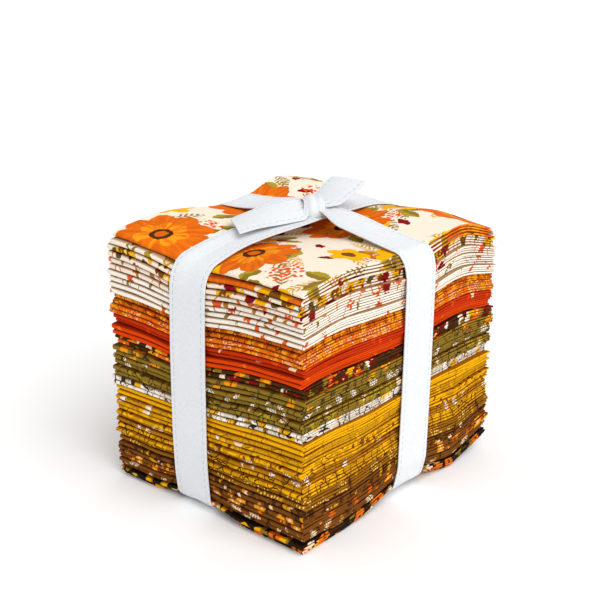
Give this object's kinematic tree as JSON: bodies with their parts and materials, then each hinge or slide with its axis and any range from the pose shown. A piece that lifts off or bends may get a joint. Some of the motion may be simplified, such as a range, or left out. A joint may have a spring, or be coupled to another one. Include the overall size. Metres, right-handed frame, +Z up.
{
  "type": "folded fat quarter bundle",
  "caption": "Stack of folded patchwork cloths in autumn prints, tied both ways with a woven ribbon that is knotted on top with two short free ends.",
  "frame": {"origin": "middle of the bundle's footprint on the surface that it rests on", "axes": "+Z up; +Y from the front, where each cloth shows two round folds, to the back; +X to the side of the layer edges"},
  "size_m": [0.121, 0.1434, 0.1384],
  "materials": {
    "cream_bouquet": "printed quilting cotton, matt",
    "cream_garden": "printed quilting cotton, matt",
    "cream_vine": "printed quilting cotton, matt",
    "cream_posy": "printed quilting cotton, matt",
    "cream_ditsy": "printed quilting cotton, matt",
    "rust_crackle": "printed quilting cotton, matt",
    "orange_scallop": "printed quilting cotton, matt",
    "red_leaf": "printed quilting cotton, matt",
    "tomato_plain": "printed quilting cotton, matt",
    "dark_garden": "printed quilting cotton, matt",
    "olive_bloom": "printed quilting cotton, matt",
    "olive_sprig": "printed quilting cotton, matt",
    "olive_crackle": "printed quilting cotton, matt",
    "grey_outline": "printed quilting cotton, matt",
    "yellow_plain": "printed quilting cotton, matt",
    "gold_foliage": "printed quilting cotton, matt",
    "gold_blossom": "printed quilting cotton, matt",
    "tan_sprig": "printed quilting cotton, matt",
    "gold_crackle": "printed quilting cotton, matt",
    "bronze_dot": "printed quilting cotton, matt",
    "umber_dense": "printed quilting cotton, matt",
    "brown_bloom": "printed quilting cotton, matt",
    "brown_sprig": "printed quilting cotton, matt",
    "black_bouquet": "printed quilting cotton, matt",
    "ribbon": "white twill ribbon, soft sheen"
  },
  "bodies": {
    "root": {"fat_quarter_01": "cream_bouquet", "fat_quarter_02": "cream_garden", "fat_quarter_03": "cream_vine", "fat_quarter_04": "cream_posy", "fat_quarter_05": "cream_ditsy", "fat_quarter_06": "rust_crackle", "fat_quarter_07": "orange_scallop", "fat_quarter_08": "red_leaf", "fat_quarter_09": "tomato_plain", "fat_quarter_10": "dark_garden", "fat_quarter_11": "olive_bloom", "fat_quarter_12": "olive_sprig", "fat_quarter_13": "olive_crackle", "fat_quarter_14": "grey_outline", "fat_quarter_15": "yellow_plain", "fat_quarter_16": "gold_foliage", "fat_quarter_17": "gold_blossom", "fat_quarter_18": "tan_sprig", "fat_quarter_19": "gold_crackle", "fat_quarter_20": "bronze_dot", "fat_quarter_21": "umber_dense", "fat_quarter_22": "brown_bloom", "fat_quarter_23": "brown_sprig", "fat_quarter_24": "black_bouquet", "ribbon": "ribbon"}
  },
  "joints": []
}
